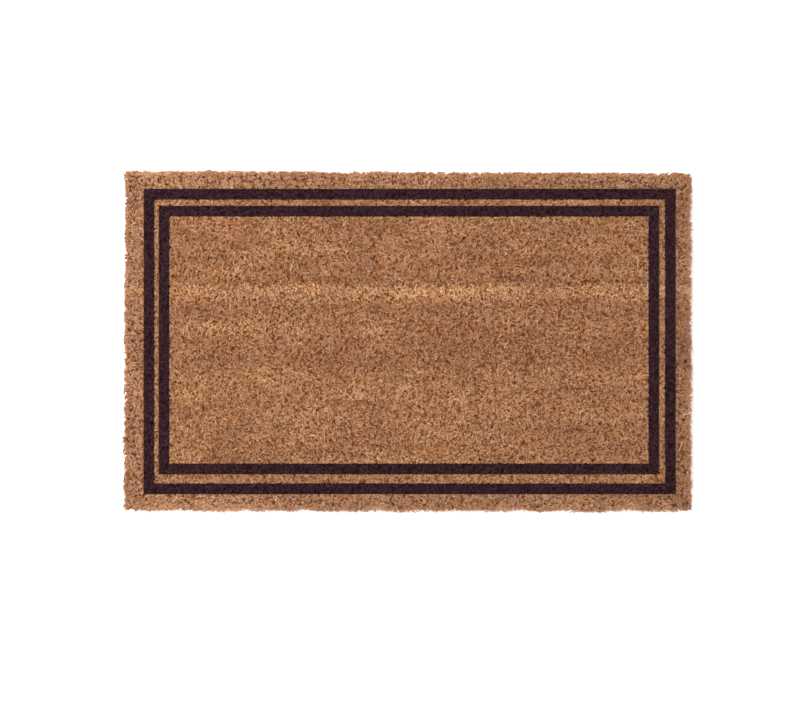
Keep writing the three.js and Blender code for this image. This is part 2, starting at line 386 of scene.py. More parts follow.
def fibre_lines():
    """Every fibre's stations from root to tip, thickness, shade and tone."""
    rng = np.random.default_rng(SEED + 2)
    locks = lock_lines()
    lock = np.repeat(np.arange(len(locks["tuft"])), FIBRES_PER_LOCK)
    n = len(lock)
    tuft, edge = locks["tuft"][lock], locks["edge"][lock]
    free = TUFTS["free"][tuft]
    low = locks["root"][lock] + rng.normal(0, FIBRE_ROOT, (n, 2))
    tip_free = np.clip(free, LEAST_TIP_FREE, 1)
    high = locks["tip"][lock] + rng.normal(0, FIBRE_TIP, (n, 2)) * tip_free
    stray = rng.uniform(size=n) < STRAY_SHARE
    lean = locks["lean"][lock] + rng.normal(0, FIBRE_LEAN, (n, 2)) * free
    lean = np.where(stray[:, None], rng.normal(0, STRAY_LEAN, (n, 2)) * free, lean)
    short = np.abs(rng.normal(0, SHORTER, n)) + SHORTEST * rng.uniform(size=n) ** 3
    z_tip = PILE_TOP + TIP_LEVEL + locks["height"][lock] - np.where(stray, 0, short)
    z_tip = np.minimum(z_tip, PILE_TOP + TIP_LIMIT)
    z_edge = PILE_BOTTOM + RIM_ROOT + RIM_ROOT_RANGE * rng.uniform(size=n) ** RIM_ROOT_POWER
    z_root = np.where(edge, z_edge, PILE_TOP - FIBRE_VISIBLE)
    stations = []
    for share in FIBRE_SHARES:
        z = z_root + (z_tip - z_root) * share
        rise = ((z - PILE_BOTTOM) / (PILE_TOP - PILE_BOTTOM))[:, None]
        bend = np.clip((z - z_tip) / BEND_LENGTH + 1, 0, 1)[:, None]
        place = low + (high - low) * np.clip(rise, 0, 1) + lean * bend
        stations.append(np.concatenate([place, z[:, None]], axis=1))
    differ = rng.normal(0, FIBRE_SHADE, n) * np.where(edge, RIM_FIBRE_SHADE, 1)
    shade = locks["shade"][lock] + differ + STRAY_LIGHTER * stray
    return {
        "stations": np.stack(stations, axis=1),
        "radius": rng.uniform(*FIBRE_RADII, n),
        "shade": np.clip(shade, 0, 1),
        "tone": TUFTS["tone"][tuft],
        "edge": edge,
    }


RING = 3  # corners round a fibre
TIP_TAPER = 0.8  # a fibre's tip over its root
FIBRE_CELL = 2.2  # the height over the width of a fibre's cell on the bake map
RING_PLACES = (0.1, 0.5, 0.9)  # where across the cell a ring's corners are
SIDES_LOW, SIDES_TALL = 0.08, 0.7  # the part of the cell's height that the fibre's sides fill
END_PATCH = ((0.1, 0.84), (0.9, 0.84), (0.5, 0.96))  # the tip's cut end, above the sides


def fibre_rings(stations, radius):
    """The corners of fibres, ring by ring. The last ring is level, like the cut pile."""
    n, levels = stations.shape[:2]
    rng = np.random.default_rng(n)
    line = stations[:, -1] - stations[:, 0]
    line /= np.linalg.norm(line, axis=1)[:, None]
    aside = np.cross(line, rng.normal(size=(n, 3)))
    aside /= np.linalg.norm(aside, axis=1)[:, None]
    other = np.cross(line, aside)
    rings = []
    for level in range(levels):
        last = level == levels - 1
        thick = radius[:, None] * (TIP_TAPER if last else 1.0)
        for side in range(RING):
            turn = side * 2 * math.pi / RING
            way = aside * math.cos(turn) + other * math.sin(turn)
            rings.append(stations[:, level] + way * thick * ((1, 1, 0) if last else 1))
    return np.stack(rings, axis=1).reshape(-1, 3)


def fibre_layout(faces, levels, corner, size):
    """The bake places of fibres, each in its own cell. The two ends come first in faces."""
    heights = [SIDES_LOW + SIDES_TALL * level / (levels - 1) for level in range(levels)]
    spots = np.array([(u, v) for v in heights for u in RING_PLACES])
    layout = []
    for number, face in enumerate(faces):
        spot = spots[face]
        if number < 2:  # the root's end is never seen, and shares the sides' place
            spot = np.array(END_PATCH) - (0, SIDES_TALL * (1 - number))
        layout.append((corner[:, None, :] + spot[None] * size).reshape(-1, 2))
    return layout


def fibre_mesh(stations, radius, shade, tone, low, high):
    """Points, polygons, bake places and attributes of three-sided fibres with level cut ends.
    low and high bound the band of the bake map that they fill."""
    n, levels = stations.shape[:2]
    per = RING * levels
    faces = [np.arange(RING)[::-1], np.arange(per - RING, per)]
    for level in range(levels - 1):
        for side in range(RING):
            a, b = level * RING + side, level * RING + (side + 1) % RING
            faces.append(np.array([a, b, b + RING, a + RING]))
    start = (np.arange(n) * per)[:, None]
    depth = np.repeat(np.arange(levels) / (levels - 1), RING)
    return {
        "points": fibre_rings(stations, radius),
        "polygons": [start + face for face in faces],
        "layout": fibre_layout(faces, levels, *cells(n, low, high, FIBRE_CELL)),
        "shade": np.repeat(shade, per),
        "tone": np.repeat(tone, per),
        "depth": np.tile(depth, n),
    }


def joined(name, parts):
    """One mesh object of several sets of points and polygons."""
    shift, polygons = 0, []
    for part in parts:
        polygons += [p + shift for p in part["polygons"]]
        shift += len(part["points"])
    points = np.concatenate([part["points"] for part in parts])
    layout = np.concatenate([place for part in parts for place in part["layout"]])
    attributes = {}
    for key in ("shade", "tone", "depth"):
        if key in parts[0]:
            attributes[key] = np.concatenate([part[key] for part in parts])
    return new_mesh(name, points, polygons, layout, attributes)


# ---- which piece each fibre belongs to ----

ZONES = ("margin", "outer_border", "gap", "inner_border")
FIELD_PANELS = (4, 2)  # the field's fibres are too many for one mesh
ALMOST_ONE = 0.999


def within(place, rectangle):
    """Whether each place is inside a rectangle."""
    x, y = place[:, 0], place[:, 1]
    return (x > rectangle[0]) & (x < rectangle[2]) & (y > rectangle[1]) & (y < rectangle[3])


def zone_numbers(place):
    """Each place's piece, as a number in PIECES."""
    depth = sum(within(place, rectangle).astype(int) for rectangle in RECTANGLES.values())
    number = np.zeros(len(place), int)
    for level, inner in enumerate(RECTANGLES.values()):
        side = np.where(place[:, 0] < 0, SIDES.index("left"), SIDES.index("right"))
        side = np.where(place[:, 1] >= inner[3], SIDES.index("back"), side)
        side = np.where(place[:, 1] <= inner[1], SIDES.index("front"), side)
        number = np.where(depth == level, level * len(SIDES) + side, number)
    share = (place - FIELD_LOW[:2]) / (FIELD_HIGH - FIELD_LOW)[:2]
    panel = (np.clip(share, 0, ALMOST_ONE) * FIELD_PANELS).astype(int)
    panel = panel[:, 0] * FIELD_PANELS[1] + panel[:, 1]
    return np.where(depth == len(ZONES), len(ZONES) * len(SIDES) + panel, number)


PIECES = [(f"{zone}_fibres_{side}", f"pile_{zone}_{side}") for zone in ZONES for side in SIDES]
PIECES += [(f"field_fibres_{k + 1}", "pile_field") for k in range(FIELD_PANELS[0] * FIELD_PANELS[1])]

# ---- materials ----


class Nodes:
    """A short way to write a node tree."""

    def __init__(self, name, roughness, specular):
        self.material = bpy.data.materials.new(name)
        self.material.use_nodes = True
        self.tree = self.material.node_tree
        self.shader = self.tree.nodes["Principled BSDF"]
        self.shader.inputs["Roughness"].default_value = roughness
        self.shader.inputs["Specular IOR Level"].default_value = specular

    def add(self, kind, inputs=(), **settings):
        node = self.tree.nodes.new(kind)
        for key, value in settings.items():
            setattr(node, key, value)
        for key, value in dict(inputs).items():
            if isinstance(value, bpy.types.NodeSocket):
                self.tree.links.new(value, node.inputs[key])
            else:
                node.inputs[key].default_value = value
        return node

    def maths(self, operation, a, b=0.0, c=0.0):
        pairs = {0: a, 1: b, 2: c} if operation == "MULTIPLY_ADD" else {0: a, 1: b}
        return self.add("ShaderNodeMath", pairs, operation=operation).outputs[0]

    def times(self, a, b):
        """Two colours or places multiplied."""
        node = self.add("ShaderNodeVectorMath", {0: a, 1: b}, operation="MULTIPLY")
        return node.outputs["Vector"]

    def uneven(self, value, noise, strength):
        """A value made higher and lower by a noise whose middle is a half."""
        raised = self.maths("MULTIPLY_ADD", noise, strength, value)
        return self.maths("SUBTRACT", raised, strength / 2)

    def split(self, vector):
        """A vector's three parts."""
        return self.add("ShaderNodeSeparateXYZ", {0: vector}).outputs

    def place(self):
        return self.add("ShaderNodeTexCoord").outputs["Object"]

    def attribute(self, name):
        return self.add("ShaderNodeAttribute", attribute_name=name).outputs["Fac"]

    def noise(self, place, scale, detail=2.0):
        inputs = {"Vector": place, "Scale": scale, "Detail": detail}
        return self.add("ShaderNodeTexNoise", inputs).outputs["Fac"]

    def ramp(self, factor, stops, *colours):
        node = self.add("ShaderNodeValToRGB", {"Fac": factor})
        elements = node.color_ramp.elements
        while len(elements) < len(stops):
            elements.new(0.5)
        for element, stop, colour in zip(elements, stops, colours):
            element.position = stop
            element.color = (*colour, 1)
        return node.outputs["Color"]

    def mixed(self, factor, a, b):
        node = self.add("ShaderNodeMix", data_type="RGBA")
        for key, value in ((0, factor), (6, a), (7, b)):
            if isinstance(value, bpy.types.NodeSocket):
                self.tree.links.new(value, node.inputs[key])
            else:
                node.inputs[key].default_value = value if key == 0 else (*value, 1)
        return node.outputs[2]

    def bump(self, height, strength, distance):
        inputs = {"Height": height, "Strength": strength, "Distance": distance}
        node = self.add("ShaderNodeBump", inputs)
        self.tree.links.new(node.outputs["Normal"], self.shader.inputs["Normal"])

    def painted(self, colour):
        """The finished material, with this colour."""
        self.tree.links.new(colour, self.shader.inputs["Base Color"])
        return self.material


# painted shade: the brown that a fibre darkens to toward its root, for the shade deep in the pile
PAINTED_ROOT_SHADE = (0.165, 0.050, 0.013)
FIBRE_DARK = (0.315, 0.094, 0.022)
FIBRE_MIDDLE = (0.402, 0.186, 0.074)
FIBRE_LIGHT = (0.565, 0.407, 0.275)
MARGIN_TINT = (0.99, 1.035, 1.15)  # outside the border the fibres are paler and greyer
DYE = (0.012, 0.0009, 0.0013)
DYE_LIGHT = (0.073, 0.030, 0.039)
REDDER_DYE, BLUER_DYE = (1.05, 0.7, 0.5), (0.88, 1.1, 1.4)
YELLOWER, GREYER = (1.0, 1.025, 0.78), (1.0, 0.975, 1.22)  # single fibres differ in hue
# Where on the ramps the colours above are.
FIBRE_STOPS, HUE_STOPS = (0.0, 0.5, 1.0), (0.3, 0.7)
DYE_SHADE_STOPS, DYE_HUE_STOPS = (0.35, 0.8), (0.35, 0.65)
SPECKLE_SCALE, HUE_SCALE, BLOTCH_SCALE = 900.0, 260.0, 35.0  # of the noises, to a metre
SPECKLE, BLOTCH = 0.35, 0.25  # how much they change the shade and the tone
RED_POWER, BLUE_POWER = 0.78, 1.05  # lighter yarn is less red
ROOT_SHADE_FADE = 1.4  # painted shade: how fast a fibre's colour darkens toward the root
END_SCALE = 1000.0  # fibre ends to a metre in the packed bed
END_STRETCH = 0.1  # the ends' scale upward over that sideways, for the bed's walls
END_SHADES = 0.7  # how much single ends differ in shade
END_LIGHTEST, END_DARKENING = 0.75, -1.1  # painted shade: an end's depth at its middle, and how it falls off toward its rim
END_RELIEF = 0.0008  # in metres
DYE_DEPTH = 13.0  # how far the dye soaks into the pile
DYE_SPREAD = 0.4  # how far it creeps past the stencil
DYE_UNEVEN = 0.006  # how unevenly deep it soaks, in metres


def rectangle_mask(nodes, x, y, rectangle):
    """1 inside a rectangle given in millimetres, and 0 outside."""
    low_x, low_y, high_x, high_y = (float(v) * MM for v in rectangle)
    apart_x = nodes.maths("ABSOLUTE", nodes.maths("SUBTRACT", x, (low_x + high_x) / 2))
    apart_y = nodes.maths("ABSOLUTE", nodes.maths("SUBTRACT", y, (low_y + high_y) / 2))
    inside_x = nodes.maths("LESS_THAN", apart_x, (high_x - low_x) / 2)
    inside_y = nodes.maths("LESS_THAN", apart_y, (high_y - low_y) / 2)
    return nodes.maths("MULTIPLY", inside_x, inside_y)


def packed_ends(nodes, place, shade):
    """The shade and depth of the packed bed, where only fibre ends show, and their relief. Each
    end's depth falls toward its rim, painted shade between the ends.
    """
    drawn = nodes.times(place, (1, 1, END_STRETCH))
    ends = nodes.add("ShaderNodeTexVoronoi", {"Vector": drawn, "Scale": END_SCALE}).outputs
    nodes.bump(ends["Distance"], 1.0, -END_RELIEF)
    shade = nodes.uneven(shade, nodes.split(ends["Color"])[0], END_SHADES)
    # painted shade between the ends
    depth = nodes.maths("MULTIPLY_ADD", ends["Distance"], END_DARKENING, END_LIGHTEST)
    return shade, depth


def fibre_colour(nodes, place, shade, depth, hue):
    """Undyed fibre by its shade, its yarn's tone and its depth in the pile, where it darkens toward
    the root with painted shade.
    """
    fibre = nodes.ramp(shade, FIBRE_STOPS, FIBRE_DARK, FIBRE_MIDDLE, FIBRE_LIGHT)
    tone = nodes.uneven(nodes.attribute("tone"), nodes.noise(place, BLOTCH_SCALE), BLOTCH)
    red, blue = nodes.maths("POWER", tone, RED_POWER), nodes.maths("POWER", tone, BLUE_POWER)
    light = nodes.add("ShaderNodeCombineXYZ", {0: red, 1: tone, 2: blue}).outputs["Vector"]
    fibre = nodes.times(fibre, light)
    # painted shade: darker toward the root
    fibre = nodes.mixed(nodes.maths("POWER", depth, ROOT_SHADE_FADE), PAINTED_ROOT_SHADE, fibre)
    return nodes.times(fibre, nodes.ramp(hue, HUE_STOPS, YELLOWER, GREYER))


def pile_material(name, packed):
    """Coir, undyed or dyed by its place. packed is for the bed, where only fibre ends show."""
    nodes = Nodes(name, roughness=0.75, specular=0.2)
    place = nodes.place()
    x, y, z = nodes.split(place)
    speckle = nodes.noise(place, SPECKLE_SCALE, detail=3.0)
    hue = nodes.noise(place, HUE_SCALE)
    shade = nodes.uneven(nodes.attribute("shade"), speckle, SPECKLE)
    if packed:
        shade, depth = packed_ends(nodes, place, shade)
    else:
        depth = nodes.attribute("depth")
    inside = []
    for grow, rectangle in zip((1, -1, 1, -1), RECTANGLES.values()):
        spread = rectangle + grow * DYE_SPREAD * np.array([-1, -1, 1, 1])
        inside.append(rectangle_mask(nodes, x, y, spread))
    fibre = fibre_colour(nodes, place, shade, depth, hue)
    fibre = nodes.mixed(inside[0], nodes.times(fibre, MARGIN_TINT), fibre)
    # the dye, cut sharp by the stencil
    outer = nodes.maths("SUBTRACT", inside[0], inside[1])
    inner = nodes.maths("SUBTRACT", inside[2], inside[3])
    stencil = nodes.maths("ADD", outer, inner)
    soak = nodes.maths("MULTIPLY_ADD", speckle, DYE_UNEVEN, z)
    least = (PILE_TOP - DYE_DEPTH) * MM + DYE_UNEVEN / 2
    deep = nodes.maths("GREATER_THAN", soak, least)
    dye = nodes.ramp(shade, DYE_SHADE_STOPS, DYE, DYE_LIGHT)
    dye = nodes.times(dye, nodes.ramp(hue, DYE_HUE_STOPS, REDDER_DYE, BLUER_DYE))
    return nodes.painted(nodes.mixed(nodes.maths("MULTIPLY", stencil, deep), fibre, dye))


PILE = pile_material("coir_pile", packed=False)
PACKED = pile_material("packed_coir_pile", packed=True)

# ---- the pile ----

MAP_SHARE, MAP_MARGIN = 0.98, 0.01  # what the fibres of a piece fill of the bake map's height


def build_pile():
    fibres = fibre_lines()
    zone = zone_numbers(fibres["stations"][:, -1, :2])
    for number, (name, node) in enumerate(PIECES):
        parts = []
        here = zone == number
        share = MAP_SHARE * (here & fibres["edge"]).sum() / here.sum()
        for at_edge, low, high in ((False, share + MAP_MARGIN, 1.0), (True, 0.0, share)):
            chosen = here & (fibres["edge"] == at_edge)
            if not chosen.any():
                continue
            stations = fibres["stations"][chosen]
            if not at_edge:  # so little of a fibre shows there that it is straight
                stations = stations[:, [0, 2]]
            facts = [fibres[key][chosen] for key in ("radius", "shade", "tone")]
            parts.append(fibre_mesh(stations, *facts, low, high))
        piece = joined(name, parts)
        piece.data.materials.append(PILE)
        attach(piece, "root")
        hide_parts(node)


build_pile()

# ---- loose fibres lying on the pile ----

LOOSE_COUNT, LOOSE_DRAWS = 70, 4  # the draws leave enough places when some are refused
LOOSE_INSET = 8  # how far in from the outline the outermost ones lie
FRAME_ZONE = (18.0, 66.0)  # how far in from the outline none lie, because of the dyed frame
LOOSE_LENGTHS, LONG_LENGTH = (4, 11), 16
# Where the longest ones lie, and the way that they point, in degrees.
LONG_LOOSE = ((365, -140, 70), (306, 108, 100), (367, 108, 20), (223, 226, 60), (-155, 99, 80))
LOOSE_RADII = (0.20, 0.32)
LOOSE_BOW = 0.07  # how far they are off straight, over their length
LOOSE_LIFT = 0.1
LOOSE_DIPS = (1.5, 4.0)  # how deep one end dips into the pile; the other dips a quarter of it
LOOSE_SHARES = (-0.5, -0.25, 0.0, 0.25, 0.5)  # where along the length the stations are
LOOSE_DARK, LOOSE_LIGHT = (0.58, 0.33, 0.17), (0.82, 0.56, 0.36)
LOOSE_PATCH_SCALE = 120.0


def loose_material():
    nodes = Nodes("loose_coir", roughness=0.6, specular=0.4)
    patch = nodes.noise(nodes.place(), LOOSE_PATCH_SCALE)
    return nodes.painted(nodes.ramp(patch, HUE_STOPS, LOOSE_DARK, LOOSE_LIGHT))


def build_loose():
    rng = np.random.default_rng(SEED + 5)
    reach = np.array([HALF_LENGTH - LOOSE_INSET, HALF_WIDTH - LOOSE_INSET])
    middle = rng.uniform(-1, 1, (LOOSE_DRAWS * LOOSE_COUNT, 2)) * reach
    inner = depth_inside(*middle.T)
    middle = middle[(inner < FRAME_ZONE[0]) | (inner > FRAME_ZONE[1])][:LOOSE_COUNT]
    turn = rng.uniform(0, 2 * np.pi, LOOSE_COUNT)
    length = rng.uniform(*LOOSE_LENGTHS, LOOSE_COUNT)
    for number, (x, y, degrees) in enumerate(LONG_LOOSE):
        middle[number] = (x, y)
        turn[number] = math.radians(degrees)
        length[number] = LONG_LENGTH
    along = np.stack([np.cos(turn), np.sin(turn)], axis=1)
    aside = np.stack([-np.sin(turn), np.cos(turn)], axis=1)
    bow = rng.normal(0, LOOSE_BOW, (LOOSE_COUNT, 1)) * length[:, None]
    dip = rng.uniform(*LOOSE_DIPS, LOOSE_COUNT)
    stations = []
    for share in LOOSE_SHARES:
        place = middle + along * (share * length)[:, None] + aside * bow * (1 - 4 * share**2)
        drop = dip if share < 0 else dip / 4
        height = PILE_TOP + LOOSE_LIFT - drop * (2 * share) ** 2
        stations.append(np.concatenate([place, height[:, None]], axis=1))
    radius = rng.uniform(*LOOSE_RADII, LOOSE_COUNT)
    plain = np.ones(LOOSE_COUNT)
    part = fibre_mesh(np.stack(stations, axis=1), radius, plain, plain, 0.0, 1.0)
    loose = joined("loose_fibres", [part])
    loose.data.materials.append(loose_material())
    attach(loose, "root")


build_loose()

# ---- the packed pile that the fibres stand in ----

BED_STEP = 3.0  # between the bed's places
BED_INSET_TOP, BED_INSET_BOTTOM = 4.0, 7.5
BED_TOP = PILE_TOP - 10.0
BED_BOTTOM = 13.6
BED_SHOULDER, SHOULDER_REACH = 7.0, 9.0  # how far the bed's rim drops, and over what width
BED_LUMP = 0.6
BED_NOISE, BED_NOISE_CELL = 0.8, 4
# painted shade on the bed: darker than the fibres above it, for the shade deep in the pile; the
# woven ground takes the same value as its plain shade
SLAB_SHADE = 0.3
# The streaks' tone across the mat, the fold's painted shade and painted light with it.
TONE_Y = np.linspace(-HALF_WIDTH, HALF_WIDTH, 200)
TONE = 1 + sum(s * np.exp(-(((TONE_Y - p) / w) ** 2)) for p, w, s in STREAKS)


def bed_surface(x, y):
    """The bed's upper side: lumps of about a tuft's size, and a shoulder along the rim."""
    shoulder = BED_SHOULDER * np.exp(-((depth_inside(x, y) / SHOULDER_REACH) ** 2))
    lump = np.cos(2 * np.pi * x / COLUMN_PITCH) * np.cos(2 * np.pi * y / YARN_PITCH)
    noise = smooth_noise(x, y, BED_NOISE_CELL, seed=61)
    return BED_TOP - shoulder + BED_LUMP * lump + BED_NOISE * noise


def grid(inset, columns, rows):
    """A grid of places over the mat, following its uneven edges."""
    x = np.linspace(-1, 1, columns) * (HALF_LENGTH - inset)
    y = np.linspace(-1, 1, rows) * (HALF_WIDTH - inset)
    places = np.stack(np.meshgrid(x, y, indexing="ij"), axis=2)
    return rounded(places, inset) + edge_shift(places[..., 0], places[..., 1])


def slab(name, upper, top, lower, bottom):
    """A closed slab between two grids of places, with a height for each place."""
    columns, rows = upper.shape[:2]
    upper = np.concatenate([upper, top[..., None]], axis=2).reshape(-1, 3)
    lower = np.concatenate([lower, bottom[..., None]], axis=2).reshape(-1, 3)
    index = np.arange(columns * rows).reshape(columns, rows)
    a, b, c, d = index[:-1, :-1], index[1:, :-1], index[1:, 1:], index[:-1, 1:]
    above = np.stack([a, b, c, d], axis=2).reshape(-1, 4)
    below = above[:, ::-1] + columns * rows
    rim = [index[:, 0], index[-1, 1:], index[-2::-1, -1], index[0, -2:0:-1]]
    rim = np.concatenate(rim)
    after = np.roll(rim, -1)
    wall = np.stack([after, rim, rim + columns * rows, after + columns * rows], axis=1)
    points = np.concatenate([upper, lower])
    tone = np.interp(points[:, 1], TONE_Y, TONE)
    attributes = {"shade": np.full(len(points), SLAB_SHADE), "tone": tone}
    return new_mesh(name, points, [above, below, wall], None, attributes)


def build_bed():
    columns = round(2 * HALF_LENGTH / BED_STEP)
    rows = round(2 * HALF_WIDTH / BED_STEP)
    upper, lower = grid(BED_INSET_TOP, columns, rows), grid(BED_INSET_BOTTOM, columns, rows)
    top = bed_surface(upper[..., 0], upper[..., 1])
    bed = slab("pile_bed", upper, top, lower, np.full(top.shape, BED_BOTTOM))
    bed.data.materials.append(PACKED)
    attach(bed, "root")


build_bed()

# ---- the woven ground that the tufts are locked in ----

WEFT_PASSES, WEFT_PITCH = 37, 20.2
WARP_COUNT, WARP_PITCH = 21, 20.4
WEAVE_MIDDLE = (box_mm("weft_yarn")[0][2] + box_mm("weft_yarn")[1][2]) / 2
FIRST_WEFT = -(WEFT_PASSES - 1) / 2 * WEFT_PITCH
FIRST_WARP = -(WARP_COUNT - 1) / 2 * WARP_PITCH
GROUND_STEPS = (4.4, 1.65)  # between the ground's places, along the mat and across it
GROUND_INSET_TOP, GROUND_INSET_BOTTOM = 7.5, 8.0
GROUND_TOP, GROUND_UNDER, GROUND_RIM = 13.4, 9.2, 11.6  # heights; the rim makes room for the cord
RIM_WIDTH, RIM_SLOPE = 13.0, 3.0
FOOT_DEPTH = 0.7  # how far the feet of the pile yarns stand out below
FOOT_EVEN, FOOT_WAVE = 0.6, 0.4  # how much of it is even along a yarn, and how much comes and goes
FOOT_NOISE, FOOT_NOISE_CELL = 0.2, 5

YARN_PATCH_SCALE, YARN_PATCH = 40.0, 0.5  # slow changes along a yarn, next to its hairs
YARN_CONTRAST, YARN_MIDDLE = 1.6, 1.2
YARN_STOPS = (0.1, 0.9)
HAIR_BUMP, HAIR_RELIEF = 0.6, 0.0006  # the bumps' strength, and their height in metres


def yarn_material(name, dark, light, scale):
    """Hairy twisted yarn: streaks of lighter and darker fibre, with matching bumps."""
    nodes = Nodes(name, roughness=0.8, specular=0.3)
    place = nodes.place()
    hair = nodes.noise(place, scale, detail=4.0)
    patch = nodes.noise(place, YARN_PATCH_SCALE)
    shade = nodes.maths("MULTIPLY_ADD", patch, YARN_PATCH, hair)
    shade = nodes.maths("MULTIPLY_ADD", shade, YARN_CONTRAST, nodes.attribute("shade"))
    shade = nodes.maths("SUBTRACT", shade, YARN_MIDDLE)
    nodes.bump(hair, HAIR_BUMP, HAIR_RELIEF)
    return nodes.painted(nodes.ramp(shade, YARN_STOPS, dark, light))


YARN = yarn_material("coir_yarn", (0.20, 0.090, 0.038), (0.55, 0.32, 0.16), 1400.0)
TWINE = yarn_material("lashing_twine", (0.33, 0.18, 0.085), (0.75, 0.50, 0.28), 1600.0)
GROUND = yarn_material("coir_ground", (0.10, 0.045, 0.020), (0.42, 0.21, 0.10), 700.0)


def ground_underside(x, y):
    """Lower side of the ground: the feet of the pile yarns between the warps and the weft."""
    along = FOOT_EVEN + FOOT_WAVE * np.cos(np.pi * x / COLUMN_PITCH)
    foot = np.cos(2 * np.pi * y / YARN_PITCH) * along
    noise = smooth_noise(x, y, FOOT_NOISE_CELL, seed=71)
    low = GROUND_UNDER - FOOT_DEPTH * foot + FOOT_NOISE * noise
    rim = np.clip((RIM_WIDTH + RIM_SLOPE - depth_inside(x, y)) / RIM_SLOPE, 0, 1)
    return low * (1 - rim) + GROUND_RIM * rim


def build_ground():
    columns = round(2 * HALF_LENGTH / GROUND_STEPS[0])
    rows = round(2 * HALF_WIDTH / GROUND_STEPS[1])
    upper = grid(GROUND_INSET_TOP, columns, rows)
    lower = grid(GROUND_INSET_BOTTOM, columns, rows)
    bottom = ground_underside(lower[..., 0], lower[..., 1])
    ground = slab("woven_ground", upper, np.full(bottom.shape, GROUND_TOP), lower, bottom)
    ground.data.materials.append(GROUND)
    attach(ground, "root")


# ---- twisted yarns ----

# Each yarn's radius, number of plies, length of a full twist, sides of a ply, and rings' distance.
WARP_YARN = {"radius": 1.6, "plies": 2, "twist": 11.0, "sides": 5, "step": 2.2}
WEFT_YARN = {"radius": 1.55, "plies": 2, "twist": 10.0, "sides": 5, "step": 2.2}
CORD = {"radius": 2.85, "plies": 3, "twist": 16.0, "sides": 7, "step": 2.0}
LASHING = {"radius": 0.85, "plies": 2, "twist": 5.0, "sides": 5, "step": 1.1}
PLY_SHARE = {2: 0.56, 3: 0.5}  # a ply's thickness over the whole yarn's
PLY_SHADE, RING_SHADE = 0.08, 0.05  # how much plies differ in shade, and each along its length
PLY_CELL = (0.06, 0.88, 0.1, 0.9)  # a ply's start and width across its bake cell, and its heights
CAP_RADIUS = 0.3  # of a ply's end in its bake cell
ROPE_SEED = 90


def run_along(path):
    """How far along the path each of its points is."""
    return np.append(0, np.cumsum(np.linalg.norm(np.diff(path, axis=0), axis=1)))


def spaced(path, step):
    """The path again, with its points step apart."""
    path = np.asarray(path, float)
    run = run_along(path)
    along = np.linspace(0, run[-1], max(2, round(run[-1] / step) + 1))
    return np.stack([np.interp(along, run, path[:, k]) for k in range(3)], axis=1)


def rope_points(path, radius, plies, twist, sides):
    """The corners of a yarn's plies, ring by ring."""
    line = np.gradient(path, axis=0)
    line /= np.linalg.norm(line, axis=1)[:, None]
    aside = np.cross((0, 0, 1), line)
    aside /= np.linalg.norm(aside, axis=1)[:, None]
    other = np.cross(line, aside)
    run = run_along(path)
    thick = radius * PLY_SHARE[plies]
    rings = []
    for ply in range(plies):
        turn = 2 * np.pi * (run / twist + ply / plies)
        way = np.cos(turn)[:, None] * aside + np.sin(turn)[:, None] * other
        centre = path + (radius - thick) * way
        for side in range(sides):
            around = turn + 2 * np.pi * side / sides
            way = np.cos(around)[:, None] * aside + np.sin(around)[:, None] * other
            rings.append(centre + thick * way)
    return np.stack(rings, axis=1).reshape(-1, 3)


def rope_layout(count, plies, sides, low, high):
    """The bake places of a yarn's sides, a cell for each ply between two rings, and of an end,
    which shares the first cell."""
    corner, size = cells(plies * (count - 1), low, high, 1.0)
    corner = corner.reshape(count - 1, plies, 1, 1, 2)
    start, width, bottom, top = PLY_CELL
    u = start + width * np.arange(sides + 1) / sides
    spots = [
        [(u[k], bottom), (u[k + 1], bottom), (u[k + 1], top), (u[k], top)] for k in range(sides)
    ]
    layout = (corner + np.array(spots)[None, None] * size).reshape(-1, 2)
    ring = 2 * np.pi * np.arange(sides) / sides
    cap = np.stack([0.5 + CAP_RADIUS * np.cos(ring), 0.5 + CAP_RADIUS * np.sin(ring)], axis=1)
    return layout, corner[0, 0, 0, 0] + cap * size


def rope(path, radius, plies, twist, sides, step, low=0.0, high=1.0, seed=0):
    """A yarn of twisted plies along a path. low and high bound its band of the bake map."""
    path = spaced(path, step)
    count, width = len(path), plies * sides
    across = np.arange(width).reshape(plies, sides)
    after = np.roll(across, -1, axis=1)
    quads = np.stack([across.ravel(), after.ravel()], axis=1)
    quads = np.concatenate([quads, quads[:, ::-1] + width], axis=1)
    start = (np.arange(count - 1) * width)[:, None, None]
    ends = np.concatenate([across[:, ::-1], across + (count - 1) * width])
    layout, end = rope_layout(count, plies, sides, low, high)
    rng = np.random.default_rng(SEED + ROPE_SEED + seed)
    shade = rng.normal(0, PLY_SHADE, (1, plies)) + RING_SHADE * rng.normal(size=(count, plies))
    return {
        "points": rope_points(path, radius, plies, twist, sides),
        "polygons": [(start + quads[None]).reshape(-1, 4), ends],
        "layout": [layout, np.tile(end, (len(ends), 1))],
        "shade": np.repeat(shade.reshape(-1), sides),
    }


def add_yarn(name, parts, material, nodes):
    piece = joined(name, parts)
    piece.data.materials.append(material)
    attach(piece, "root")
    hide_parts(*nodes)


WARP_STEP, WEFT_STEP, TURN_POINTS = 0.5, 2.0, 14
WARP_END = 7.5  # how far a warp reaches past the outermost weft passes
WARP_POWER = 0.8  # below 1 the waves' tops are broader than a sine's
WARP_SHARE = 0.97  # what a warp fills of its band of the bake map
TURN_START, TURN_DEPTH = 2.05, 8.0  # where past the last warp the weft turns, and how far out
WEFT_PRESS = 0.4  # how far the warps press the weft up and down
WEFT_SEED, CORD_SEED, LASHING_SEED = 50, 60, 70


def warp_path(index):
    """A warp crosses over one weft pass and under the next, down to the floor."""
    x = np.arange(FIRST_WEFT - WARP_END, -FIRST_WEFT + WARP_END, WARP_STEP)
    wave = np.cos(np.pi * ((x - FIRST_WEFT) / WEFT_PITCH + index))
    depth = WEAVE_MIDDLE - WARP_YARN["radius"]
    z = WEAVE_MIDDLE + depth * np.sign(wave) * np.abs(wave) ** WARP_POWER
    return np.stack([x, np.full(len(x), FIRST_WARP + index * WARP_PITCH), z], axis=1)


